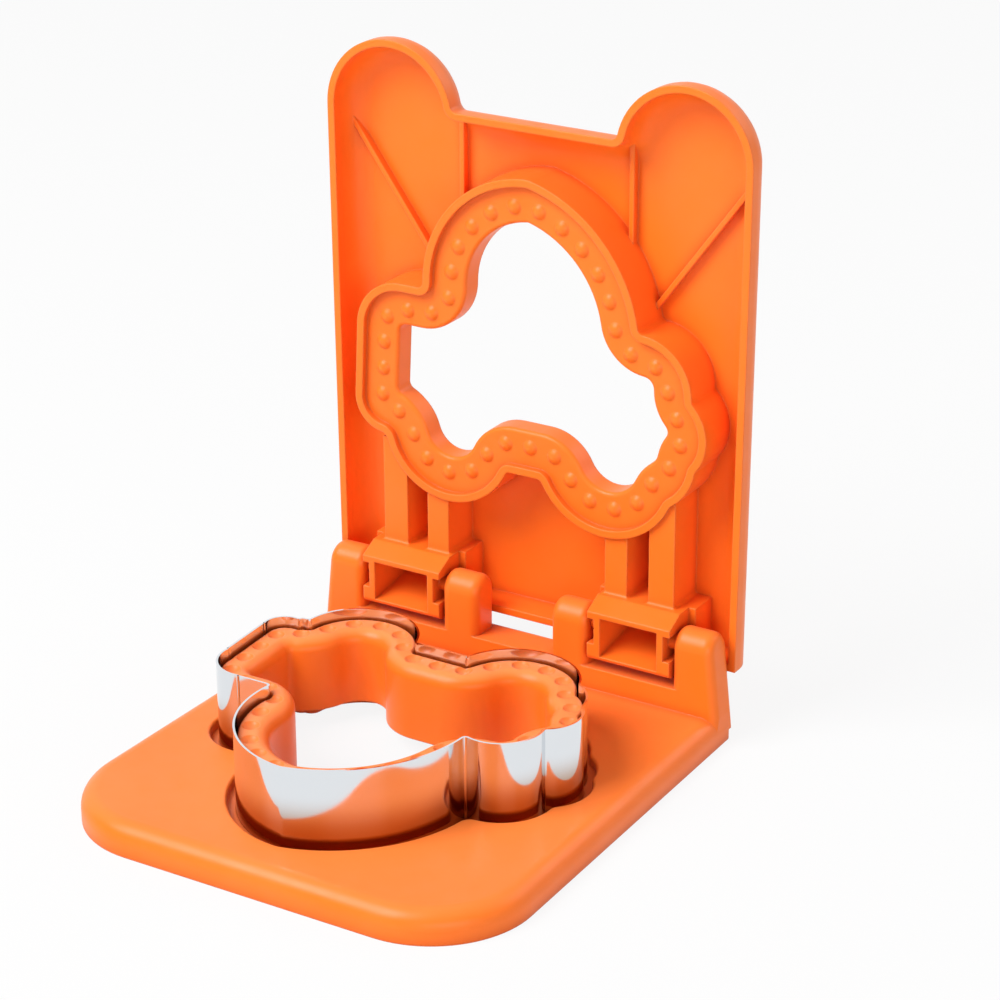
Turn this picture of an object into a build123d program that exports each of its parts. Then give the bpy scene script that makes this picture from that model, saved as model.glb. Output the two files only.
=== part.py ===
from build123d import *
import os

os.makedirs("parts", exist_ok=True)

# Frame: millimetres, X across the hinge, Y to the back, Z up.
# The origin is on the table, in the middle of the open part's width and depth.
# The part is drawn as it stands in the photo, with the lid upright.

# Base shell
base_depth = 119.4
base_width_rear = 110.0
base_width_front = 113.8
base_height = 7.4
base_plate = 2.4
base_skirt = 2.2
base_front_radius = 24.0
base_rear_radius = 2.5
base_edge_round = 4.2
base_inner_round = 1.2
well_round = 0.7

# Hinge
hinge_z = 23.3
ear_radius = 4.4
stub_radius = 2.0
stub_hole_clearance = 0.08
stub_depth_in_ear = 2.6
stub_hole_end_clearance = 0.3
rail_height = 13.0
rail_wall = 1.8
inner_ear_inside = 10.2
bay_inside = 20.2
bay_outside = 43.0
ear_side_round = 2.2
ear_core_wall = 2.0
ear_core_top = 16.0
outer_ear_foot = 55.0
outer_ear_head = 52.8

# Shape of the cutter: a small car seen from the side.
# Every place is given as (x, distance from the hinge axis).
left_wheel = (-21.3, 39.0)
left_wheel_radius = 17.7
right_wheel = (21.6, 40.2)
right_wheel_radius = 18.8
tail_low = (30.6, 45.0)
tail_low_radius = 14.8
tail = (36.1, 50.3)
tail_radius = 11.9
boot = (30.6, 59.9)
boot_radius = 13.4
roof_front = (1.8, 75.7)
roof_front_radius = 29.4
roof_rear = (-6.8, 68.7)
roof_rear_radius = 37.2
roof_crest_round = 7.0
bonnet = (-34.0, 61.7)
bonnet_radius = 12.4
bonnet_slope = 0.3
nose = (-39.0, 43.7)
nose_radius = 8.3
nose_foot_rise = 2.6
sill_line = 32.3
body_rear = 36.0
rim_bend_round = 1.6
blade_bend_round = 0.6

# Insets of the walls, all measured inwards from the lid rim's outline
rim_width = 1.9
blade_inset = 3.2
blade_thickness = 0.5
ring_inset = 4.3
ring_hole_inset = 11.2
stud_inset = 6.8
crimp_hole_inset = 10.8
well_inset = 1.2

# Blade and sealing ring on the base
blade_top = 25.4
blade_seat = 2.2
blade_groove_clearance = 0.02
ring_top = 23.0
ring_wall = 1.8
ring_inner_round = 3.2
ring_outer_round = 0.5
ring_inner_end = 4.8
hole_corner_round = 2.0
flange_outset = 4.0
flange_thickness = 1.8
groove_wall = 1.4
groove_floor = 0.9
dimple_radius = 2.6
dimple_depth = 1.0
stud_count = 38

# Stakes that hold the ring's flange under the base plate
stake_radius = 1.3
stake_clearance = 0.1
stake_head_radius = 2.1
stake_head_height = 0.9
stake_outset = 1.8
stake_count = 10

# Lid shell
lid_front = 4.7
lid_depth = 9.8
lid_wall = 1.8
lid_bottom = -7.1
lid_notch = 116.6
lid_half_bottom = 55.0
lid_ear_x = 38.8
lid_ear_radius = 17.2
lid_ear_height = 114.2
lid_back_round = 7.2
lid_inner_round = 5.6
lid_notch_round = 1.6

# Thin ribs on the lid's floor, given as (x, distance from the hinge axis)
lid_rib_height = 2.0
lid_rib_width = 1.2
upright_rib_top = (22.6, 115.7)
upright_rib_foot = (22.6, 88.0)
slanted_rib_top = (54.6, 111.4)
slanted_rib_foot = (26.4, 72.8)

# Crimping ring on the lid
rim_front = 0.8
band_depth = 1.6
band_thickness = 2.0
inner_wall_end = 8.2
crimp_wall = 2.0
crimp_inner_round = 1.0
stud_radius = 1.9
stud_height = 0.9

# Knuckles that reach forward from the lid between the base's ears
knuckle_gap = 0.4
knuckle_front = 4.7
knuckle_head = 4.3
knuckle_foot = -8.2
knuckle_head_rear = 6.8
knuckle_level_from = 0.4
knuckle_corner_round = 1.5
side_pocket = 1.8
side_wall = 1.6
pocket_low = -3.8
pocket_high = 2.6
pocket_depth = 8.0
hollow_low = -6.8
hollow_low_rear = -4.4
hollow_high = 3.1
hollow_depth = 15.0
shoulder_spread = 1.8
rib_front = 1.7
rib_foot_round = 0.9
outer_rib = (33.4, 40.1)
inner_rib = (21.7, 27.6)
rib_reach = 34.0

lid_rear = lid_front + lid_depth
open_depth = base_depth - ear_radius + lid_rear
front_y = -open_depth / 2
rear_y = front_y + base_depth
hinge_y = rear_y - ear_radius
rail_front = hinge_y - ear_radius
ceiling = base_height - base_plate
flange_bottom = ceiling - flange_thickness
lid_floor = lid_rear - lid_wall
band_front = rim_front + band_depth
band_rear = band_front + band_thickness
knuckle_inside = bay_inside + knuckle_gap
knuckle_outside = bay_outside - knuckle_gap

# Local frames: x across, y away from the hinge axis.
# On the base the third axis points down, on the open lid it points to the viewer.
base_frame = Plane(origin=(0, hinge_y, 0), x_dir=(1, 0, 0), z_dir=(0, 0, -1))
lid_frame = Plane(origin=(0, hinge_y, hinge_z), x_dir=(1, 0, 0), z_dir=(0, -1, 0))


def disc(place, radius):
    return Pos(place[0], place[1]) * Circle(radius)


def make_car(amount, bend):
    """The car's outline, inset from the lid's rim, with its inward corners bent to a radius."""
    roof = disc(roof_front, roof_front_radius - amount) & disc(roof_rear, roof_rear_radius - amount)
    wheels = disc(left_wheel, left_wheel_radius - amount) + disc(right_wheel, right_wheel_radius - amount)
    back = disc(tail_low, tail_low_radius - amount) + disc(tail, tail_radius - amount)
    back += disc(boot, boot_radius - amount)
    front = disc(bonnet, bonnet_radius - amount) + disc(nose, nose_radius - amount)
    bonnet_top = bonnet[1] + bonnet_radius
    body = Polygon(
        (nose[0] - nose_radius, nose[1]),
        (nose[0], sill_line + nose_foot_rise),
        (left_wheel[0], sill_line),
        (right_wheel[0], sill_line),
        (body_rear, right_wheel[1]),
        (body_rear, boot[1]),
        (roof_front[0], bonnet_top - bonnet_slope),
        (bonnet[0], bonnet_top),
        (bonnet[0] - bonnet_radius, bonnet[1]),
        align=None,
    )
    if amount:
        body = offset(body, -amount, kind=Kind.INTERSECTION)
    outline = roof + wheels + back + front + body
    grown = offset(outline, bend, kind=Kind.ARC)
    outline = offset(grown, -bend, kind=Kind.ARC)
    return fillet(outline.vertices().sort_by(Axis.Y)[-1], roof_crest_round - amount)


car = make_car(0, rim_bend_round)


def inset(amount):
    return offset(car, -amount, kind=Kind.ARC)


def beside_blade(amount):
    """The car's outline at an inset, parallel to the sharply bent faces of the blade."""
    return make_car(amount, blade_bend_round + amount - blade_inset)


def hole(amount):
    """The hole inset by an amount, with its sharp corners eased."""
    shrunk = offset(inset(amount), -hole_corner_round, kind=Kind.ARC)
    return offset(shrunk, hole_corner_round, kind=Kind.ARC)


def on_base(shape, low, high):
    """Material over a flat shape of the base, between two heights above the table."""
    return base_frame * (Pos(0, 0, -high) * extrude(shape, high - low))


def on_lid(shape, rear, front):
    """Material over a flat shape of the lid, between two distances in front of the hinge axis."""
    return lid_frame * (Pos(0, 0, rear) * extrude(shape, front - rear))


def block(x, y, z):
    """A box given by its two limits on each axis."""
    size = (x[1] - x[0], y[1] - y[0], z[1] - z[0])
    middle = ((x[0] + x[1]) / 2, (y[0] + y[1]) / 2, (z[0] + z[1]) / 2)
    return Pos(*middle) * Box(*size)


def places_along(amount, count):
    """Evenly spaced places on the car's outline, inset by an amount."""
    path = inset(amount).faces()[0].outer_wire()
    points = [path.position_at(i / count) for i in range(count)]
    return [(point.X, point.Y) for point in points]


def both_sides(solid):
    return solid + mirror(solid, about=Plane.YZ)


def base_outline(shrink):
    rear = base_width_rear / 2 - shrink
    front = base_width_front / 2 - shrink
    back = rear_y - shrink
    ahead = front_y + shrink
    plate = Polygon((-front, ahead), (front, ahead), (rear, back), (-rear, back), align=None)
    front_corners = plate.vertices().filter_by(lambda v: v.Y < 0)
    plate = fillet(front_corners, base_front_radius - shrink)
    rear_corners = plate.vertices().filter_by(lambda v: v.Y > back - 0.01)
    return fillet(rear_corners, max(base_rear_radius - shrink, 0.5))


def ear(inside, outside_foot, outside_head):
    """An ear of the base with a round head about the hinge axis."""
    side = Plane.YZ * (
        Pos(hinge_y, hinge_z) * Circle(ear_radius)
        + Pos(hinge_y, (hinge_z + base_plate) / 2) * Rectangle(2 * ear_radius, hinge_z - base_plate)
    )
    solid = extrude(side, outside_foot)
    front_view = Plane.XZ * Polygon(
        (inside, 0),
        (outside_foot, 0),
        (outside_foot, base_height),
        (outside_head, hinge_z + ear_radius),
        (inside, hinge_z + ear_radius),
        align=None,
    )
    solid = solid & Pos(0, rear_y, 0) * extrude(front_view, 2 * ear_radius)
    head = solid.edges().filter_by(lambda e: e.center().Z > hinge_z and e.geom_type != GeomType.LINE)
    return fillet(head, ear_side_round)


def ear_core(inside, outside):
    """The hollow moulded into an ear from below."""
    return block(
        (inside + ear_core_wall, outside - ear_core_wall),
        (rail_front + rail_wall, rear_y - base_skirt),
        (0, ear_core_top),
    )


def axle(radius, start, end):
    """A round bar on the hinge axis."""
    return Pos((start + end) / 2, hinge_y, hinge_z) * Rot(0, 90, 0) * Cylinder(radius, end - start)


def make_base_shell():
    shell = extrude(base_outline(0) - base_frame * inset(well_inset), base_height)
    top = shell.faces().sort_by(Axis.Z)[-1]
    shell = fillet(top.outer_wire().edges(), base_edge_round)
    top = shell.faces().sort_by(Axis.Z)[-1]
    shell = fillet(top.inner_wires()[0].edges(), well_round)
    rail_end = bay_outside + ear_core_wall
    shell += block((-rail_end, rail_end), (rail_front, rear_y), (base_plate, rail_height))
    shell += both_sides(ear(bay_outside, outer_ear_foot, outer_ear_head))
    shell += both_sides(ear(inner_ear_inside, bay_inside, bay_inside))
    room = extrude(base_outline(base_skirt), ceiling)
    room = fillet(room.edges().group_by(Axis.Z)[-1], base_inner_round)
    shell -= room
    shell -= block(
        (-rail_end, rail_end),
        (rail_front + rail_wall, rear_y - base_skirt),
        (0, rail_height - rail_wall),
    )
    shell -= both_sides(ear_core(inner_ear_inside, bay_inside))
    shell -= both_sides(ear_core(bay_outside, outer_ear_foot))
    for place in places_along(-stake_outset, stake_count):
        shell += on_base(disc(place, stake_radius), flange_bottom, ceiling)
        shell += on_base(disc(place, stake_head_radius), flange_bottom - stake_head_height, flange_bottom)
    hole_reach = stub_depth_in_ear + stub_hole_end_clearance
    hole_radius = stub_radius + stub_hole_clearance
    shell -= both_sides(axle(hole_radius, bay_inside - hole_reach, bay_outside + hole_reach))
    return shell


def make_sealing_ring():
    ring = on_base(beside_blade(ring_inset) - hole(ring_hole_inset), flange_bottom, ring_top)
    top = ring.faces().sort_by(Axis.Z)[-1]
    ring = fillet(top.outer_wire().edges(), ring_outer_round)
    top = ring.faces().sort_by(Axis.Z)[-1]
    ring = fillet(top.inner_wires()[0].edges(), ring_inner_round)
    wall_inside = beside_blade(ring_inset + ring_wall)
    ring -= on_base(wall_inside - hole(ring_hole_inset - ring_wall), 0, ring_top - ring_wall)
    ring -= on_base(wall_inside, 0, ring_inner_end)
    flange = inset(-flange_outset) - wall_inside
    ring += on_base(flange, flange_bottom, ceiling)
    blade_end = blade_inset + blade_thickness
    keeper = inset(blade_inset - groove_wall) - beside_blade(blade_end + groove_wall)
    ring += on_base(keeper, blade_seat - groove_floor, flange_bottom)
    groove = beside_blade(blade_inset - blade_groove_clearance)
    groove -= beside_blade(blade_end + blade_groove_clearance)
    ring -= on_base(groove, blade_seat, ceiling)
    for place in places_along(-stake_outset, stake_count):
        ring -= on_base(disc(place, stake_radius + stake_clearance), flange_bottom, ceiling)
    dimple_height = ring_top + dimple_radius - dimple_depth
    for x, reach in places_along(stud_inset, stud_count):
        ring -= Pos(x, hinge_y - reach, dimple_height) * Sphere(dimple_radius)
    return ring


def make_cutting_blade():
    strip = beside_blade(blade_inset) - beside_blade(blade_inset + blade_thickness)
    return on_base(strip, blade_seat, blade_top)


def lid_outline(shrink):
    """The lid's outline, inset by an amount, with its sides running smoothly into the ears."""
    ear_size = lid_ear_radius - shrink
    foot = lid_bottom + shrink
    top = lid_notch - shrink
    ears = disc((lid_ear_x, lid_ear_height), ear_size) + disc((-lid_ear_x, lid_ear_height), ear_size)
    bottom = Line((-lid_half_bottom + shrink, foot), (lid_half_bottom - shrink, foot))
    sheet = make_hull(ears.edges() + bottom.edges())
    above = Pos(0, top + lid_ear_radius) * Rectangle(2 * lid_ear_x, 2 * lid_ear_radius)
    outline = sheet - above + ears
    notch = outline.vertices().filter_by(lambda v: abs(v.Y - top) < 0.01 and abs(v.X) < lid_ear_x)
    return fillet(notch, lid_notch_round + shrink)


def back_edges(solid, rear):
    """The edges of a lid's back face, but for the one along its bottom."""
    edges = solid.edges().filter_by(lambda e: abs(e.center().Y - hinge_y - rear) < 0.01)
    return [e for e in edges if e.center().Z > hinge_z + lid_bottom + lid_wall + 0.5]


def lid_block():
    """The outside of the lid, before it is hollowed."""
    tray = on_lid(lid_outline(0), -lid_rear, -lid_front)
    return fillet(back_edges(tray, lid_rear), lid_back_round)


def lid_room():
    """The inside of the lid's tray."""
    room = on_lid(lid_outline(lid_wall), -lid_floor, -lid_front)
    return fillet(back_edges(room, lid_floor), lid_inner_round)


def lid_rib(top, foot):
    line = trace(Line(foot, top), lid_rib_width)
    return on_lid(line, -lid_floor, -lid_floor + lid_rib_height)


def box_rib(limits):
    """A broad rib between a knuckle and the crimping ring."""
    inner, outer = limits
    side = Pos((inner + outer) / 2, rib_reach / 2) * Rectangle(outer - inner, rib_reach)
    return on_lid(side, -lid_floor, -rib_front)


def knuckle():
    """The hollow block of the lid that carries a pair of stubs, and the two ribs above it."""
    profile = Plane.YZ * Polygon(
        (hinge_y - knuckle_front, hinge_z + knuckle_foot),
        (hinge_y + lid_floor, hinge_z + knuckle_foot),
        (hinge_y + lid_floor, hinge_z + knuckle_head_rear),
        (hinge_y + knuckle_level_from, hinge_z + knuckle_head_rear),
        (hinge_y - knuckle_front, hinge_z + knuckle_head),
        align=None,
    )
    body = Pos(knuckle_inside, 0, 0) * extrude(profile, knuckle_outside - knuckle_inside)
    shoulder = Pos(knuckle_inside - shoulder_spread, 0, 0) * extrude(
        profile, knuckle_outside - knuckle_inside + 2 * shoulder_spread
    )
    behind_ears = block(
        (0, lid_half_bottom),
        (hinge_y + lid_front, hinge_y + lid_floor),
        (hinge_z + lid_bottom, hinge_z + knuckle_head_rear),
    )
    front_foot = body.edges().filter_by(Axis.X).sort_by(lambda e: e.center().Y + e.center().Z)[0]
    solid = fillet(front_foot, knuckle_corner_round) + (shoulder & behind_ears)
    solid += box_rib(outer_rib) + box_rib(inner_rib)
    return fillet(rib_feet(solid), rib_foot_round)


def rib_feet(solid):
    """The inward edges at the feet of the two broad ribs."""
    level = hinge_z + knuckle_head_rear
    on_level = solid.edges().filter_by(lambda e: abs(e.center().Z - level) < 0.01)
    sides = (*outer_rib, *inner_rib)
    fronts = (sum(outer_rib) / 2, sum(inner_rib) / 2)
    along_y = on_level.filter_by(Axis.Y).filter_by(lambda e: min(abs(e.center().X - x) for x in sides) < 0.01)
    along_x = on_level.filter_by(Axis.X).filter_by(lambda e: min(abs(e.center().X - x) for x in fronts) < 0.01)
    return along_y + along_x.filter_by(lambda e: e.center().Y < hinge_y + lid_front)


def knuckle_hollows():
    """The open hollow between a knuckle's side walls, and the pockets round its stubs."""
    front = hinge_y - knuckle_front
    wall = side_pocket + side_wall
    profile = Plane.YZ * Polygon(
        (front, hinge_z + hollow_low),
        (front + hollow_depth, hinge_z + hollow_low_rear),
        (front + hollow_depth, hinge_z + hollow_high),
        (front, hinge_z + hollow_high),
        align=None,
    )
    hollow = Pos(knuckle_inside + wall, 0, 0) * extrude(profile, knuckle_outside - knuckle_inside - 2 * wall)
    pockets = block(
        (knuckle_inside, knuckle_inside + side_pocket),
        (front, front + pocket_depth),
        (hinge_z + pocket_low, hinge_z + pocket_high),
    )
    pockets += block(
        (knuckle_outside - side_pocket, knuckle_outside),
        (front, front + pocket_depth),
        (hinge_z + pocket_low, hinge_z + pocket_high),
    )
    return hollow + pockets


def crimping_band():
    """The grooved floor of the crimping ring, its inner wall and its row of studs."""
    band = on_lid(inset(rim_width / 2) - hole(crimp_hole_inset), -band_rear, -band_front)
    front = band.faces().sort_by(Axis.Y)[0]
    band = fillet(front.inner_wires()[0].edges(), crimp_inner_round)
    inner_wall = hole(crimp_hole_inset - crimp_wall) - hole(crimp_hole_inset)
    band += on_lid(inner_wall, -inner_wall_end, -band_rear + band_thickness / 2)
    dome_radius = (stud_radius ** 2 + stud_height ** 2) / (2 * stud_height)
    dome_centre = -band_front + stud_height - dome_radius
    for place in places_along(stud_inset, stud_count):
        footing = on_lid(disc(place, stud_radius), -band_front - band_thickness / 2, 0)
        ball = lid_frame * (Pos(place[0], place[1], dome_centre) * Sphere(dome_radius))
        band += footing & ball
    return band


def make_lid_shell():
    outside = lid_block()
    ribs = lid_rib(upright_rib_top, upright_rib_foot) + lid_rib(slanted_rib_top, slanted_rib_foot)
    lid = outside - lid_room() + (both_sides(ribs) & outside)
    lid += both_sides(knuckle())
    lid -= both_sides(knuckle_hollows())
    lid += both_sides(axle(stub_radius, bay_inside - stub_depth_in_ear, knuckle_inside + side_pocket))
    lid += both_sides(axle(stub_radius, knuckle_outside - side_pocket, bay_outside + stub_depth_in_ear))
    lid += on_lid(car, -lid_floor, -rim_front)
    lid -= on_lid(inset(rim_width), -lid_rear, 0)
    return lid + crimping_band()


if __name__ == "__main__":
    export_step(make_base_shell(), "parts/base_shell.step")
    export_step(make_sealing_ring(), "parts/sealing_ring.step")
    export_step(make_cutting_blade(), "parts/cutting_blade.step")
    export_step(make_lid_shell(), "parts/lid_shell.step")
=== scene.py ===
"""Sandwich cutter and sealer: the finish of the moulded shells, the blade strip and the stage."""

import math

import bmesh
import bpy
from mathutils import Matrix, Vector


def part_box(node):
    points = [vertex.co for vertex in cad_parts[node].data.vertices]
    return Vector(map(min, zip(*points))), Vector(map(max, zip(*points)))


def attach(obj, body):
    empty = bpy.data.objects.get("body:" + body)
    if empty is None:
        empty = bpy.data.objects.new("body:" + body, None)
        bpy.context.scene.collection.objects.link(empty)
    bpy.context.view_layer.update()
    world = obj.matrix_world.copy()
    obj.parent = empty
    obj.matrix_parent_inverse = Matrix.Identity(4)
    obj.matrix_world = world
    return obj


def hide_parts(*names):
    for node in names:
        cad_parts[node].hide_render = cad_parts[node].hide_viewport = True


bl_info = {
    "name": "Sandwich cutter and sealer",
    "version": (1, 0, 0),
    "blender": (4, 5, 0),
    "location": "View3D > Sidebar > Press",
    "description": "Finishes a hinged sandwich cutter and sealer, and sets its stage",
    "category": "Object",
}

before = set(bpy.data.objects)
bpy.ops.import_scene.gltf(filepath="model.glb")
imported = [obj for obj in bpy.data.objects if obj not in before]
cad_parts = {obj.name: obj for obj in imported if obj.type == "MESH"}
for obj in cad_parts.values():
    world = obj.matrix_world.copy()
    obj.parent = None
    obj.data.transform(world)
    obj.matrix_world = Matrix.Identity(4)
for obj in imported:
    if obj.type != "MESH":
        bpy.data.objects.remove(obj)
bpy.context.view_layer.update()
BLADE_LOW, BLADE_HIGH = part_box("cutting_blade")

# Height of the top face of the base's plate, in metres
BASE_TOP = 0.0074

# How close two points are that count as one, in metres
SAME_PLACE = 1e-6

# Grains per metre in the patterns of the plastic: its clouding, its smears and its sunk areas
CLOUD_GRAINS = 55.0
SMEAR_GRAINS = 140.0
SINK_GRAINS = 45.0

# Grains per metre in the patterns of the steel: its haze, and the lines left by rolling, which are
# drawn out along the strip
HAZE_GRAINS = 60.0
LINE_GRAINS = 900.0
LINE_STRETCH = (0.04, 0.04, 1.0)

# Share of the pale colour in the clouds, at the softened edges, where it is wear and a painted
# highlight, and on the faces of each moulding that look up, where it is painted light
CLOUD_WEAR = 0.12
EDGE_WEAR_AND_HIGHLIGHT = 0.45
# Painted light on the faces that look up, for each moulding
TOP_PAINTED_LIGHT = {"base_shell": 0.3, "sealing_ring": 1.0, "lid_shell": 0.0}

# Heights of the plastic's sunk areas and of its grain, and of the steel's lines, in metres
SINK_DEPTH = 0.0006
GRAIN_DEPTH = 0.00006
LINE_DEPTH = 0.00001

# How strongly the plastic mirrors, and how it bends light
PLASTIC_SPECULAR = 0.28
PLASTIC_IOR = 1.49

# Height over the base's plate up to which the steel's foot is fully darkened by painted shade, in
# metres
FULL_FOOT_SHADE = 0.0005

# The blade's line: the fewest points it can have, the longest step between two of them in metres,
# and the turn in degrees from which an edge stays crisp
FEWEST_POINTS = 20
LINE_STEP = 0.0006
CRISP_TURN = 16.0

# The point that the lamps light, and each lamp's place, width and height in metres
LAMP_AIM = (0.0, 0.0, 0.04)
KEY_LAMP = ((-0.5, -0.72, 1.05), (0.8, 0.8))
FILL_LAMP = ((0.9, -0.9, 0.3), (1.0, 0.4))
BACK_LAMP = ((0.75, 1.05, 0.75), (1.0, 0.7))

# How far back a polished surface looks, as the Y of its line of sight, where the room is dim and
# where it is fully white
DIM_FRONT = -0.45
WHITE_BACK = 0.15

# The white that the floor and the room show, and the floor's own colour under it
WHITE = (1.0, 1.0, 1.0, 1.0)
FLOOR_GREY = (0.7, 0.7, 0.7, 1.0)


# Sizes and colours that a user would change


class PlasticFinish(bpy.types.PropertyGroup):
    colour: bpy.props.FloatVectorProperty(
        name="Colour",
        description="Colour of the moulded plastic",
        subtype="COLOR",
        size=3,
        min=0.0,
        max=1.0,
        default=(0.96, 0.18, 0.013),
    )
    # Painted light: the pale colour is real wear in the clouds and at the edges, and also a painted
    # highlight on the edges and painted light on the tops
    wear_and_light_colour: bpy.props.FloatVectorProperty(
        name="Pale colour",
        description="Colour where handling and cutting have dulled the plastic",
        subtype="COLOR",
        size=3,
        min=0.0,
        max=1.0,
        default=(0.98, 0.27, 0.075),
    )
    roughness: bpy.props.FloatProperty(
        name="Roughness",
        description="How satin the plastic is",
        subtype="FACTOR",
        min=0.05,
        max=1.0,
        default=0.36,
    )
    bloom: bpy.props.FloatProperty(
        name="Bloom",
        description="How much the satin surface pales where light grazes it",
        subtype="FACTOR",
        min=0.0,
        max=1.0,
        default=0.04,
    )
    # Painted shade: the nook colour darkens nooks, creases and dimples where less light reaches
    painted_shade_colour: bpy.props.FloatVectorProperty(
        name="Nook colour",
        description="Colour of the plastic in nooks and dimples, where dust and crumbs stay",
        subtype="COLOR",
        size=3,
        min=0.0,
        max=1.0,
        default=(0.55, 0.055, 0.003),
    )
    painted_shade_strength: bpy.props.FloatProperty(
        name="Nook shade",
        description="How much of the nook colour the deepest nooks take",
        subtype="FACTOR",
        min=0.0,
        max=1.0,
        default=0.6,
    )
    painted_shade_reach: bpy.props.FloatProperty(
        name="Nook reach",
        description="Width of the gaps that count as nooks",
        subtype="DISTANCE",
        unit="LENGTH",
        min=0.0005,
        max=0.01,
        default=0.003,
    )
    grain_size: bpy.props.FloatProperty(
        name="Grain size",
        description="Width of the fine texture left by the mould",
        subtype="DISTANCE",
        min=0.0001,
        max=0.005,
        default=0.0007,
    )
    edge_round: bpy.props.FloatProperty(
        name="Edge round",
        description="Radius by which light sees the edges softened",
        subtype="DISTANCE",
        min=0.0,
        max=0.002,
        default=0.0006,
    )


class BladeFinish(bpy.types.PropertyGroup):
    colour: bpy.props.FloatVectorProperty(
        name="Colour",
        description="Colour of the polished steel",
        subtype="COLOR",
        size=3,
        min=0.0,
        max=1.0,
        default=(0.75, 0.78, 0.81),
    )
    # Painted shade: the foot colour darkens the steel towards its groove and stands in for the
    # groove's dark reflection
    foot_shade_colour: bpy.props.FloatVectorProperty(
        name="Stain colour",
        description="Colour of the steel's darkened foot, where it stands in its groove",
        subtype="COLOR",
        size=3,
        min=0.0,
        max=1.0,
        default=(0.42, 0.22, 0.1),
    )
    foot_shade_height: bpy.props.FloatProperty(
        name="Stain height",
        description="Height over the base in which the darkening fades out",
        subtype="DISTANCE",
        unit="LENGTH",
        min=0.001,
        max=0.02,
        default=0.012,
    )
    roughness: bpy.props.FloatProperty(
        name="Roughness",
        description="How dull the polished steel is",
        subtype="FACTOR",
        min=0.0,
        max=1.0,
        default=0.06,
    )
    thickness: bpy.props.FloatProperty(
        name="Thickness",
        description="Thickness of the steel strip",
        subtype="DISTANCE",
        unit="LENGTH",
        min=0.0003,
        max=0.001,
        default=0.0005,
    )
    grind_height: bpy.props.FloatProperty(
        name="Grind height",
        description="Height over which the cutting edge is ground thin",
        subtype="DISTANCE",
        min=0.0,
        max=0.005,
        default=0.00015,
    )
    edge_width: bpy.props.FloatProperty(
        name="Edge width",
        description="Width that is left at the top of the cutting edge",
        subtype="DISTANCE",
        min=0.00002,
        max=0.0005,
        default=0.0003,
    )


class StageSettings(bpy.types.PropertyGroup):
    azimuth: bpy.props.FloatProperty(
        name="Azimuth",
        description="Angle of the camera round the object",
        subtype="ANGLE",
        unit="ROTATION",
        default=math.radians(31.393),
    )
    elevation: bpy.props.FloatProperty(
        name="Elevation",
        description="Angle of the camera above the table",
        subtype="ANGLE",
        unit="ROTATION",
        default=math.radians(23.145),
    )
    roll: bpy.props.FloatProperty(
        name="Roll",
        description="Turn of the camera about its own line of sight",
        subtype="ANGLE",
        unit="ROTATION",
        default=math.radians(-0.24),
    )
    distance: bpy.props.FloatProperty(
        name="Distance",
        description="Distance from the camera to the point it looks at",
        subtype="DISTANCE",
        unit="LENGTH",
        default=0.6975,
    )
    lens: bpy.props.FloatProperty(
        name="Lens",
        description="Focal length of the camera in millimetres, on a sensor 36 mm wide",
        default=110.126,
    )
    target: bpy.props.FloatVectorProperty(
        name="Target",
        description="Point that the camera looks at",
        subtype="XYZ",
        unit="LENGTH",
        size=3,
        default=(0.007774, 0.027604, 0.059810),
    )
    key_power: bpy.props.FloatProperty(
        name="Key light",
        description="Power of the large lamp above and to the left",
        unit="POWER",
        min=0.0,
        default=21.0,
    )
    fill_power: bpy.props.FloatProperty(
        name="Fill light",
        description="Power of the wide lamp in front",
        unit="POWER",
        min=0.0,
        default=4.5,
    )
    back_power: bpy.props.FloatProperty(
        name="Back light",
        description="Power of the soft lamp behind",
        unit="POWER",
        min=0.0,
        default=4.0,
    )
    world_strength: bpy.props.FloatProperty(
        name="Room light",
        description="Strength of the even light from all round",
        subtype="FACTOR",
        min=0.0,
        max=1.0,
        default=0.35,
    )
    front_strength: bpy.props.FloatProperty(
        name="Front of the room",
        description="Brightness that polished surfaces mirror from the dim front of the room",
        subtype="FACTOR",
        min=0.0,
        max=1.0,
        default=0.15,
    )
    floor_reach: bpy.props.FloatProperty(
        name="Floor reach",
        description="Distance from the middle of the floor to its sides",
        subtype="DISTANCE",
        unit="LENGTH",
        min=1.0,
        default=6.0,
    )
    floor_shade: bpy.props.FloatProperty(
        name="Floor shade",
        description="How much of its own light and shadow the white floor shows",
        subtype="FACTOR",
        min=0.0,
        max=1.0,
        default=0.11,
    )


# Materials


def new_material(name):
    """A new material with its nodes cleared but for a shader and the output."""
    material = bpy.data.materials.new(name)
    material.use_nodes = True
    tree = material.node_tree
    tree.nodes.clear()
    output = tree.nodes.new("ShaderNodeOutputMaterial")
    shader = tree.nodes.new("ShaderNodeBsdfPrincipled")
    tree.links.new(shader.outputs["BSDF"], output.inputs["Surface"])
    return material, tree, shader


def maths(tree, operation, first, second, clamp=False):
    """The result of an operation on two values, each a socket or a number."""
    node = tree.nodes.new("ShaderNodeMath")
    node.operation = operation
    node.use_clamp = clamp
    for socket, value in zip(node.inputs, (first, second)):
        if isinstance(value, float):
            socket.default_value = value
        else:
            tree.links.new(value, socket)
    return node.outputs["Value"]


def mixed(tree, factor, first, second):
    """A colour between two, each a socket or a colour: the first at 0 and the second at 1."""
    node = tree.nodes.new("ShaderNodeMix")
    node.data_type = "RGBA"
    tree.links.new(factor, node.inputs["Factor"])
    for name, value in (("A", first), ("B", second)):
        if isinstance(value, bpy.types.NodeSocket):
            tree.links.new(value, node.inputs[name])
        else:
            node.inputs[name].default_value = (*value, 1.0)
    return node.outputs["Result"]


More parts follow.
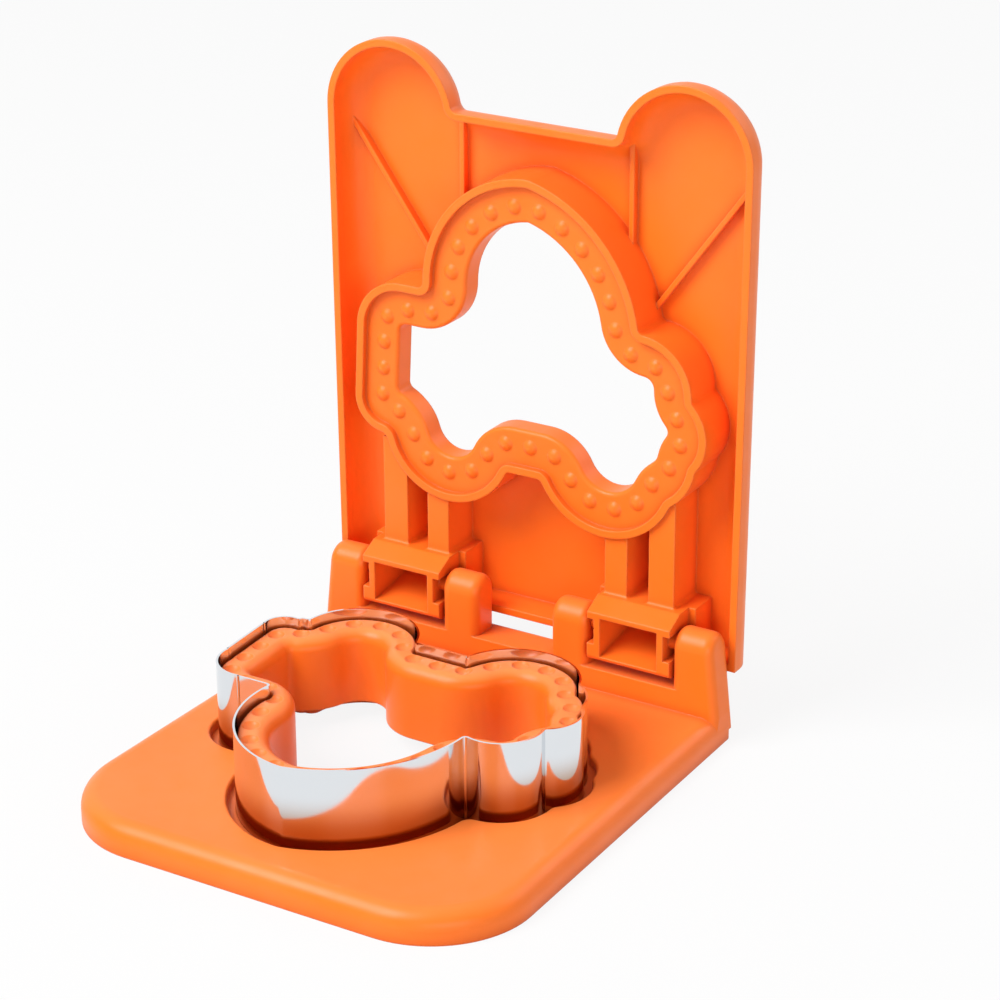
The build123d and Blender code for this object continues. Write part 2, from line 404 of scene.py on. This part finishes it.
def bumped(tree, height, strength, distance, normal=None):
    """The normal that a height gives, over the given normal or the mesh's own."""
    node = tree.nodes.new("ShaderNodeBump")
    node.inputs["Strength"].default_value = strength
    node.inputs["Distance"].default_value = distance
    tree.links.new(height, node.inputs["Height"])
    if normal is not None:
        tree.links.new(normal, node.inputs["Normal"])
    return node.outputs["Normal"]


def object_noise(tree, scale, detail=2.0, roughness=0.5, stretch=(1.0, 1.0, 1.0)):
    """A noise on the piece's own coordinates, in grains per metre."""
    place = tree.nodes.new("ShaderNodeTexCoord")
    mapping = tree.nodes.new("ShaderNodeMapping")
    mapping.inputs["Scale"].default_value = stretch
    noise = tree.nodes.new("ShaderNodeTexNoise")
    noise.inputs["Scale"].default_value = scale
    noise.inputs["Detail"].default_value = detail
    noise.inputs["Roughness"].default_value = roughness
    tree.links.new(place.outputs["Object"], mapping.inputs["Vector"])
    tree.links.new(mapping.outputs["Vector"], noise.inputs["Vector"])
    return noise.outputs["Fac"]


def ranged(tree, value, low, high, new_low, new_high):
    """The value moved from one range to another."""
    node = tree.nodes.new("ShaderNodeMapRange")
    node.inputs["From Min"].default_value = low
    node.inputs["From Max"].default_value = high
    node.inputs["To Min"].default_value = new_low
    node.inputs["To Max"].default_value = new_high
    tree.links.new(value, node.inputs["Value"])
    return node.outputs["Result"]


def wear_and_painted_light(tree, soft_normal, top_painted_light):
    """How pale the plastic is painted: real pale clouds, softened edges pale from wear and a
    painted highlight, and painted light on faces that look up.
    """
    surface = tree.nodes.new("ShaderNodeNewGeometry")
    turn = tree.nodes.new("ShaderNodeVectorMath")
    turn.operation = "DOT_PRODUCT"
    tree.links.new(soft_normal, turn.inputs[0])
    tree.links.new(surface.outputs["Normal"], turn.inputs[1])
    place = tree.nodes.new("ShaderNodeTexCoord")
    facing = tree.nodes.new("ShaderNodeSeparateXYZ")
    tree.links.new(place.outputs["Normal"], facing.inputs["Vector"])
    cloud = object_noise(tree, CLOUD_GRAINS, detail=3.0)
    pale_share = ranged(tree, cloud, 0.35, 0.7, 0.0, CLOUD_WEAR)
    # Edges pale from wear, and with a painted highlight
    worn_lit_edges = ranged(tree, turn.outputs["Value"], 0.99, 0.8, 0.0, EDGE_WEAR_AND_HIGHLIGHT)
    # Painted light: faces that look up are painted paler, as if lit from above
    lit_tops = ranged(tree, facing.outputs["Z"], 0.55, 0.98, 0.0, top_painted_light)
    for pale_part in (worn_lit_edges, lit_tops):
        pale_share = maths(tree, "ADD", pale_share, pale_part, clamp=True)
    return pale_share


def moulded_plastic(name, finish, top_painted_light):
    """Satin moulded plastic with a fine mould grain, worn edges with a painted highlight, painted
    light on its tops and painted shade in its nooks.
    """
    material, tree, shader = new_material(name)
    soft = tree.nodes.new("ShaderNodeBevel")
    soft.samples = 6
    soft.inputs["Radius"].default_value = finish.edge_round
    pale_share = wear_and_painted_light(tree, soft.outputs["Normal"], top_painted_light)
    open_colour = mixed(tree, pale_share, finish.colour, finish.wear_and_light_colour)
    # Painted shade: ambient occlusion darkens the colour in nooks, creases and dimples
    painted_shade_node = tree.nodes.new("ShaderNodeAmbientOcclusion")
    painted_shade_node.samples = 8
    painted_shade_node.inputs["Distance"].default_value = finish.painted_shade_reach
    unshaded_share = ranged(tree, painted_shade_node.outputs["AO"], 0.35, 0.95, 1.0 - finish.painted_shade_strength, 1.0)
    colour = mixed(tree, unshaded_share, finish.painted_shade_colour, open_colour)
    tree.links.new(colour, shader.inputs["Base Color"])

    smear = object_noise(tree, SMEAR_GRAINS, detail=4.0, roughness=0.6)
    rough = ranged(tree, smear, 0.3, 0.7, finish.roughness - 0.05, finish.roughness + 0.07)
    tree.links.new(rough, shader.inputs["Roughness"])

    sink = object_noise(tree, SINK_GRAINS, detail=1.0)
    wave = bumped(tree, sink, 0.10, SINK_DEPTH, soft.outputs["Normal"])
    grain = object_noise(tree, 1.0 / finish.grain_size, detail=2.0)
    normal = bumped(tree, grain, 0.06, GRAIN_DEPTH, wave)
    tree.links.new(normal, shader.inputs["Normal"])
    shader.inputs["Specular IOR Level"].default_value = PLASTIC_SPECULAR
    shader.inputs["IOR"].default_value = PLASTIC_IOR
    shader.inputs["Sheen Weight"].default_value = finish.bloom
    shader.inputs["Sheen Roughness"].default_value = 0.4
    return material


def polished_steel(name, finish):
    """Polished stainless steel with faint rolling lines along the strip, and painted shade
    darkening its foot towards the groove.
    """
    material, tree, shader = new_material(name)
    shader.inputs["Metallic"].default_value = 1.0
    place = tree.nodes.new("ShaderNodeTexCoord")
    parts = tree.nodes.new("ShaderNodeSeparateXYZ")
    tree.links.new(place.outputs["Object"], parts.inputs["Vector"])
    # Painted shade: the steel's colour darkens towards its foot in the groove
    foot = BASE_TOP + FULL_FOOT_SHADE
    foot_shade = ranged(tree, parts.outputs["Z"], foot, foot + finish.foot_shade_height, 1.0, 0.0)
    foot_shade.node.interpolation_type = "SMOOTHERSTEP"
    colour = mixed(tree, foot_shade, finish.colour, finish.foot_shade_colour)
    tree.links.new(colour, shader.inputs["Base Color"])
    haze = object_noise(tree, HAZE_GRAINS, detail=3.0)
    rough = ranged(tree, haze, 0.3, 0.75, finish.roughness - 0.02, finish.roughness + 0.05)
    tree.links.new(rough, shader.inputs["Roughness"])
    lines = object_noise(tree, LINE_GRAINS, detail=3.0, stretch=LINE_STRETCH)
    normal = bumped(tree, lines, 0.05, LINE_DEPTH)
    tree.links.new(normal, shader.inputs["Normal"])
    return material


def seen_straight(tree):
    """1 where the camera, a polished surface or a clear one looks at it, and 0 for other light."""
    path = tree.nodes.new("ShaderNodeLightPath")
    straight = path.outputs["Is Camera Ray"]
    for name in ("Is Glossy Ray", "Is Transmission Ray"):
        straight = maths(tree, "MAXIMUM", straight, path.outputs[name])
    return straight


def white_floor(name, shade):
    """A pale matt floor that looks white and keeps a part of its shadows."""
    material, tree, shader = new_material(name)
    shader.inputs["Base Color"].default_value = FLOOR_GREY
    shader.inputs["Roughness"].default_value = 0.9
    shader.inputs["Specular IOR Level"].default_value = 0.1
    white = tree.nodes.new("ShaderNodeEmission")
    white.inputs["Color"].default_value = WHITE
    white.inputs["Strength"].default_value = 1.0
    part = ranged(tree, seen_straight(tree), 0.0, 1.0, 0.0, 1.0 - shade)
    mix = tree.nodes.new("ShaderNodeMixShader")
    surface = shader.outputs["BSDF"].links[0].to_socket
    tree.links.new(part, mix.inputs["Fac"])
    tree.links.new(shader.outputs["BSDF"], mix.inputs[1])
    tree.links.new(white.outputs["Emission"], mix.inputs[2])
    tree.links.new(mix.outputs["Shader"], surface)
    return material


def give_material(obj, material):
    """Puts one material on the whole object."""
    obj.data.materials.clear()
    obj.data.materials.append(material)


# The blade strip


def top_loop(node, height):
    """The outer edge of a node's top face, as a closed run of points in order."""
    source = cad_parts[node].data
    work = bmesh.new()
    work.from_mesh(source)
    bmesh.ops.remove_doubles(work, verts=work.verts, dist=SAME_PLACE)
    level = [e for e in work.edges if all(abs(v.co.z - height) < SAME_PLACE for v in e.verts)]
    rim = [e for e in level if any(abs(f.normal.z) < 0.5 for f in e.link_faces)]
    follow = {}
    for edge in rim:
        for vert, other in (edge.verts, reversed(edge.verts)):
            follow.setdefault(vert, []).append(other)
    loops = []
    seen = set()
    for start in follow:
        if start in seen:
            continue
        loop = [start]
        seen.add(start)
        step = start
        while True:
            onward = [v for v in follow[step] if v not in seen]
            if not onward:
                break
            step = onward[0]
            seen.add(step)
            loop.append(step)
        loops.append([Vector((v.co.x, v.co.y)) for v in loop])
    work.free()
    return max(loops, key=length_of)


def length_of(loop):
    """The length of the closed run of points."""
    return sum((a - b).length for a, b in zip(loop, loop[1:] + loop[:1]))


def rounded(loop, step):
    """A smooth closed curve through the points, in steps no longer than given."""
    count = len(loop)
    along = [(loop[(i + 1) % count] - loop[i - 1]).normalized() for i in range(count)]
    smooth = []
    for i in range(count):
        here = loop[i]
        there = loop[(i + 1) % count]
        chord = (there - here).length
        leave = along[i] * chord
        arrive = along[(i + 1) % count] * chord
        pieces = max(4, math.ceil(chord / step))
        for k in range(pieces):
            t = k / pieces
            bend = t * t * (3.0 - 2.0 * t)
            start_pull = t * (1.0 - t) ** 2
            end_pull = t * t * (t - 1.0)
            between = here * (1.0 - bend) + there * bend
            smooth.append(between + leave * start_pull + arrive * end_pull)
    return smooth


def moved_in(loop, depth):
    """The closed run of points moved toward its inside."""
    area = sum(a.x * b.y - b.x * a.y for a, b in zip(loop, loop[1:] + loop[:1])) / 2
    inward = 1.0 if area > 0 else -1.0
    line = []
    for i, here in enumerate(loop):
        along = (loop[(i + 1) % len(loop)] - loop[i - 1]).normalized()
        line.append(here + Vector((-along.y, along.x)) * inward * depth)
    return line


def set_input(modifier, tree, name, value):
    """Sets a modifier's input by its socket's identifier."""
    for item in tree.interface.items_tree:
        if item.item_type == "SOCKET" and item.in_out == "INPUT" and item.name == name:
            modifier[item.identifier] = value
            return
    raise RuntimeError("the tree has no input named " + name)


def strip_tree():
    """A strip of steel that follows a closed line on its edge, with its top ground thin."""
    tree = bpy.data.node_groups.new("blade_strip", "GeometryNodeTree")
    interface = tree.interface
    interface.new_socket("Geometry", in_out="INPUT", socket_type="NodeSocketGeometry")
    for name in ("Height", "Thickness", "Grind height", "Edge width"):
        interface.new_socket(name, in_out="INPUT", socket_type="NodeSocketFloat")
    interface.new_socket("Material", in_out="INPUT", socket_type="NodeSocketMaterial")
    interface.new_socket("Geometry", in_out="OUTPUT", socket_type="NodeSocketGeometry")
    nodes = tree.nodes
    link = tree.links.new
    given = nodes.new("NodeGroupInput")

    line = nodes.new("GeometryNodeMeshToCurve")
    link(given.outputs["Geometry"], line.inputs["Mesh"])
    upright = nodes.new("GeometryNodeSetCurveNormal")
    upright.mode = "Z_UP"
    link(line.outputs["Curve"], upright.inputs["Curve"])

    section = nodes.new("GeometryNodeMeshGrid")
    section.inputs["Vertices X"].default_value = 2
    section.inputs["Vertices Y"].default_value = 3
    link(given.outputs["Thickness"], section.inputs["Size X"])
    link(given.outputs["Height"], section.inputs["Size Y"])

    # The section's lowest row stays, its middle row goes up to the shoulder of the grind, and its
    # top row draws in to the width of the edge
    height = given.outputs["Height"]
    place = nodes.new("GeometryNodeInputPosition")
    parts = nodes.new("ShaderNodeSeparateXYZ")
    link(place.outputs["Position"], parts.inputs["Vector"])
    quarter = maths(tree, "MULTIPLY", height, 0.25)
    is_top = maths(tree, "GREATER_THAN", parts.outputs["Y"], quarter)
    from_middle = maths(tree, "ABSOLUTE", parts.outputs["Y"], 0.0)
    is_shoulder = maths(tree, "LESS_THAN", from_middle, quarter)
    half_height = maths(tree, "MULTIPLY", height, 0.5)
    shoulder = maths(tree, "SUBTRACT", half_height, given.outputs["Grind height"])
    lifted = maths(tree, "MULTIPLY", is_shoulder, shoulder)
    new_y = maths(tree, "ADD", parts.outputs["Y"], lifted)
    thinning = maths(tree, "DIVIDE", given.outputs["Edge width"], given.outputs["Thickness"])
    loss = maths(tree, "SUBTRACT", thinning, 1.0)
    share = maths(tree, "MULTIPLY", is_top, loss)
    factor = maths(tree, "ADD", share, 1.0)
    new_x = maths(tree, "MULTIPLY", parts.outputs["X"], factor)
    moved = nodes.new("ShaderNodeCombineXYZ")
    link(new_x, moved.inputs["X"])
    link(new_y, moved.inputs["Y"])
    shaped = nodes.new("GeometryNodeSetPosition")
    link(section.outputs["Mesh"], shaped.inputs["Geometry"])
    link(moved.outputs["Vector"], shaped.inputs["Position"])

    neighbours = nodes.new("GeometryNodeInputMeshEdgeNeighbors")
    on_rim = nodes.new("FunctionNodeCompare")
    on_rim.data_type = "INT"
    on_rim.operation = "EQUAL"
    for socket in on_rim.inputs:
        if socket.enabled and socket.name == "A":
            link(neighbours.outputs["Face Count"], socket)
        if socket.enabled and socket.name == "B":
            socket.default_value = 1
    profile = nodes.new("GeometryNodeMeshToCurve")
    link(shaped.outputs["Geometry"], profile.inputs["Mesh"])
    link(on_rim.outputs["Result"], profile.inputs["Selection"])

    sweep = nodes.new("GeometryNodeCurveToMesh")
    link(upright.outputs["Curve"], sweep.inputs["Curve"])
    link(profile.outputs["Curve"], sweep.inputs["Profile Curve"])
    real = nodes.new("GeometryNodeRealizeInstances")
    link(sweep.outputs["Mesh"], real.inputs["Geometry"])
    paint = nodes.new("GeometryNodeSetMaterial")
    link(real.outputs["Geometry"], paint.inputs["Geometry"])
    link(given.outputs["Material"], paint.inputs["Material"])
    result = nodes.new("NodeGroupOutput")
    link(paint.outputs["Geometry"], result.inputs["Geometry"])
    return tree


def evaluated_mesh(obj, name):
    """A plain mesh object with the modifiers' result, in place of the given one."""
    bpy.context.view_layer.update()
    graph = bpy.context.evaluated_depsgraph_get()
    mesh = bpy.data.meshes.new_from_object(obj.evaluated_get(graph))
    bpy.data.objects.remove(obj, do_unlink=True)
    mesh.name = name
    plain = bpy.data.objects.new(name, mesh)
    bpy.context.scene.collection.objects.link(plain)
    return plain


def smooth_by_angle(obj, degrees):
    """Smooth shading, with edges sharper than the angle left crisp."""
    mesh = obj.data
    mesh.polygons.foreach_set("use_smooth", [True] * len(mesh.polygons))
    work = bmesh.new()
    work.from_mesh(mesh)
    limit = math.radians(degrees)
    for edge in work.edges:
        edge.smooth = len(edge.link_faces) == 2 and edge.calc_face_angle(0.0) < limit
    bmesh.ops.recalc_face_normals(work, faces=work.faces)
    work.to_mesh(mesh)
    work.free()
    mesh.update()


# Operators, one for each piece and one for the stage


class PRESS_OT_shells(bpy.types.Operator):
    """Give the base, the sealing ring and the lid their moulded plastic"""

    bl_idname = "press.shells"
    bl_label = "Moulded shells"

    def execute(self, context):
        finish = context.scene.press_plastic
        for node, top_painted_light in TOP_PAINTED_LIGHT.items():
            material = moulded_plastic(node + "_plastic", finish, top_painted_light)
            give_material(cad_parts[node], material)
        return {"FINISHED"}


class PRESS_OT_blade(bpy.types.Operator):
    """Make the blade, a polished strip with a ground edge, in place of its plain solid"""

    bl_idname = "press.blade"
    bl_label = "Cutting blade"

    def execute(self, context):
        finish = context.scene.press_blade
        outer = top_loop("cutting_blade", BLADE_HIGH.z)
        if len(outer) < FEWEST_POINTS:
            raise RuntimeError("the blade's top edge wasn't found")
        thickness = finish.thickness
        line = moved_in(rounded(outer, LINE_STEP), thickness / 2)
        middle = (BLADE_LOW.z + BLADE_HIGH.z) / 2
        mesh = bpy.data.meshes.new("blade_line")
        edges = [(i, (i + 1) % len(line)) for i in range(len(line))]
        mesh.from_pydata([(p.x, p.y, middle) for p in line], edges, [])
        obj = bpy.data.objects.new("blade_line", mesh)
        context.scene.collection.objects.link(obj)
        tree = strip_tree()
        modifier = obj.modifiers.new("strip", "NODES")
        modifier.node_group = tree
        set_input(modifier, tree, "Height", BLADE_HIGH.z - BLADE_LOW.z)
        set_input(modifier, tree, "Thickness", thickness)
        set_input(modifier, tree, "Grind height", finish.grind_height)
        set_input(modifier, tree, "Edge width", finish.edge_width)
        set_input(modifier, tree, "Material", polished_steel("blade_steel_polished", finish))
        strip = evaluated_mesh(obj, "blade_strip")
        smooth_by_angle(strip, CRISP_TURN)
        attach(strip, "base")
        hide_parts("cutting_blade")
        return {"FINISHED"}


class PRESS_OT_stage(bpy.types.Operator):
    """Set the floor, the camera, the lamps and the room's light"""

    bl_idname = "press.stage"
    bl_label = "Stage"

    def execute(self, context):
        settings = context.scene.press_stage
        make_floor(context, settings)
        make_camera(context, settings)
        make_lamps(context, settings)
        make_world(context, settings)
        context.scene.view_settings.view_transform = "Standard"
        return {"FINISHED"}


def make_floor(context, settings):
    """A flat floor under the part, wide enough to fill the picture."""
    reach = settings.floor_reach
    mesh = bpy.data.meshes.new("floor")
    turns = ((-1, -1), (1, -1), (1, 1), (-1, 1))
    mesh.from_pydata([(x * reach, y * reach, 0.0) for x, y in turns], [], [(0, 1, 2, 3)])
    floor = bpy.data.objects.new("floor", mesh)
    context.scene.collection.objects.link(floor)
    floor.data.materials.append(white_floor("floor_white", settings.floor_shade))


def make_camera(context, settings):
    """The camera that sees the part as the photo does."""
    around = settings.azimuth
    above = settings.elevation
    level = Vector((math.sin(around), -math.cos(around), 0.0))
    back = level * math.cos(above) + Vector((0.0, 0.0, math.sin(above)))
    right = Vector((math.cos(around), math.sin(around), 0.0))
    up = back.cross(right)
    turned_right = math.cos(settings.roll) * right + math.sin(settings.roll) * up
    turned_up = math.cos(settings.roll) * up - math.sin(settings.roll) * right
    data = bpy.data.cameras.new("camera")
    data.sensor_width = 36.0
    data.lens = settings.lens
    data.clip_start = 0.01
    camera = bpy.data.objects.new("camera", data)
    place = Matrix.Translation(Vector(settings.target) + back * settings.distance)
    turn = Matrix((turned_right, turned_up, back)).transposed().to_4x4()
    camera.matrix_world = place @ turn
    context.scene.collection.objects.link(camera)
    context.scene.camera = camera


def make_lamp(context, name, lamp_box, power):
    """A soft lamp that faces the part."""
    place, size = lamp_box
    data = bpy.data.lights.new(name, "AREA")
    data.shape = "RECTANGLE"
    data.size, data.size_y = size
    data.energy = power
    lamp = bpy.data.objects.new(name, data)
    lamp.location = place
    lamp.rotation_euler = (Vector(LAMP_AIM) - Vector(place)).to_track_quat("-Z", "Y").to_euler()
    context.scene.collection.objects.link(lamp)


def make_lamps(context, settings):
    """The lamps, all of them large and soft."""
    make_lamp(context, "key_lamp", KEY_LAMP, settings.key_power)
    make_lamp(context, "fill_lamp", FILL_LAMP, settings.fill_power)
    make_lamp(context, "back_lamp", BACK_LAMP, settings.back_power)


def make_world(context, settings):
    """A room that looks white, gives an even light, and is dim in front for polished surfaces."""
    world = bpy.data.worlds.new("room")
    context.scene.world = world
    world.use_nodes = True
    tree = world.node_tree
    tree.nodes.clear()
    output = tree.nodes.new("ShaderNodeOutputWorld")
    light = tree.nodes.new("ShaderNodeBackground")
    light.inputs["Strength"].default_value = settings.world_strength
    seen = tree.nodes.new("ShaderNodeBackground")
    place = tree.nodes.new("ShaderNodeTexCoord")
    parts = tree.nodes.new("ShaderNodeSeparateXYZ")
    path = tree.nodes.new("ShaderNodeLightPath")
    tree.links.new(place.outputs["Generated"], parts.inputs["Vector"])
    front = settings.front_strength
    mirrored = ranged(tree, parts.outputs["Y"], DIM_FRONT, WHITE_BACK, front, 1.0)
    brightest = maths(tree, "MAXIMUM", path.outputs["Is Camera Ray"], mirrored)
    tree.links.new(brightest, seen.inputs["Strength"])
    mix = tree.nodes.new("ShaderNodeMixShader")
    for background in (light, seen):
        background.inputs["Color"].default_value = WHITE
    tree.links.new(seen_straight(tree), mix.inputs["Fac"])
    tree.links.new(light.outputs["Background"], mix.inputs[1])
    tree.links.new(seen.outputs["Background"], mix.inputs[2])
    tree.links.new(mix.outputs["Shader"], output.inputs["Surface"])


class PRESS_PT_panel(bpy.types.Panel):
    """Lists the pieces and the stage"""

    bl_idname = "PRESS_PT_panel"
    bl_label = "Press"
    bl_space_type = "VIEW_3D"
    bl_region_type = "UI"
    bl_category = "Press"

    def draw(self, context):
        for operator in OPERATORS:
            self.layout.operator(operator.bl_idname)


OPERATORS = (PRESS_OT_shells, PRESS_OT_blade, PRESS_OT_stage)
CLASSES = (PlasticFinish, BladeFinish, StageSettings) + OPERATORS + (PRESS_PT_panel,)


def register():
    """Adds the classes and the settings to Blender."""
    for item in CLASSES:
        bpy.utils.register_class(item)
    bpy.types.Scene.press_plastic = bpy.props.PointerProperty(type=PlasticFinish)
    bpy.types.Scene.press_blade = bpy.props.PointerProperty(type=BladeFinish)
    bpy.types.Scene.press_stage = bpy.props.PointerProperty(type=StageSettings)


def unregister():
    """Takes the classes and the settings out again."""
    del bpy.types.Scene.press_stage
    del bpy.types.Scene.press_blade
    del bpy.types.Scene.press_plastic
    for item in reversed(CLASSES):
        bpy.utils.unregister_class(item)


def main():
    """Builds the stage and the pieces."""
    register()
    bpy.ops.press.stage()
    bpy.ops.press.shells()
    bpy.ops.press.blade()


if __name__ == "__main__":
    main()
